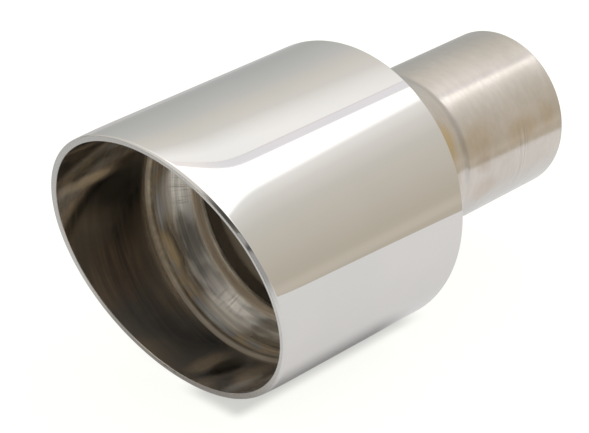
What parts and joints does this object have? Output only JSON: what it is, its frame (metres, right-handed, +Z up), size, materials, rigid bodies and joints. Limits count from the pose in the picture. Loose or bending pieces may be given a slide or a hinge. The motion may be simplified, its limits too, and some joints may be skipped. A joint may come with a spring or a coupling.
{
  "type": "exhaust tip",
  "caption": "Round polished stainless exhaust tip with a slash-cut rim and an inner reducer narrowing to a slip-on sleeve.",
  "frame": {"origin": "centre of the sleeve's open end, where the tailpipe goes in", "axes": "+Y along the tube's axis towards the inlet, so the outlet faces -Y; +Z up, with the long side of the slanted rim on top"},
  "size_m": [0.1142, 0.2195, 0.1142],
  "materials": {
    "polished_shell": "mirror-polished stainless steel, with a satin ground rim",
    "satin_sheet": "satin stainless sheet with straw and blue heat tint near the welds",
    "weld_metal": "fused stainless weld with a fine ripple"
  },
  "bodies": {
    "root": {"outer_shell": "polished_shell", "reducer": "satin_sheet", "weld_bead": "weld_metal"}
  },
  "joints": []
}
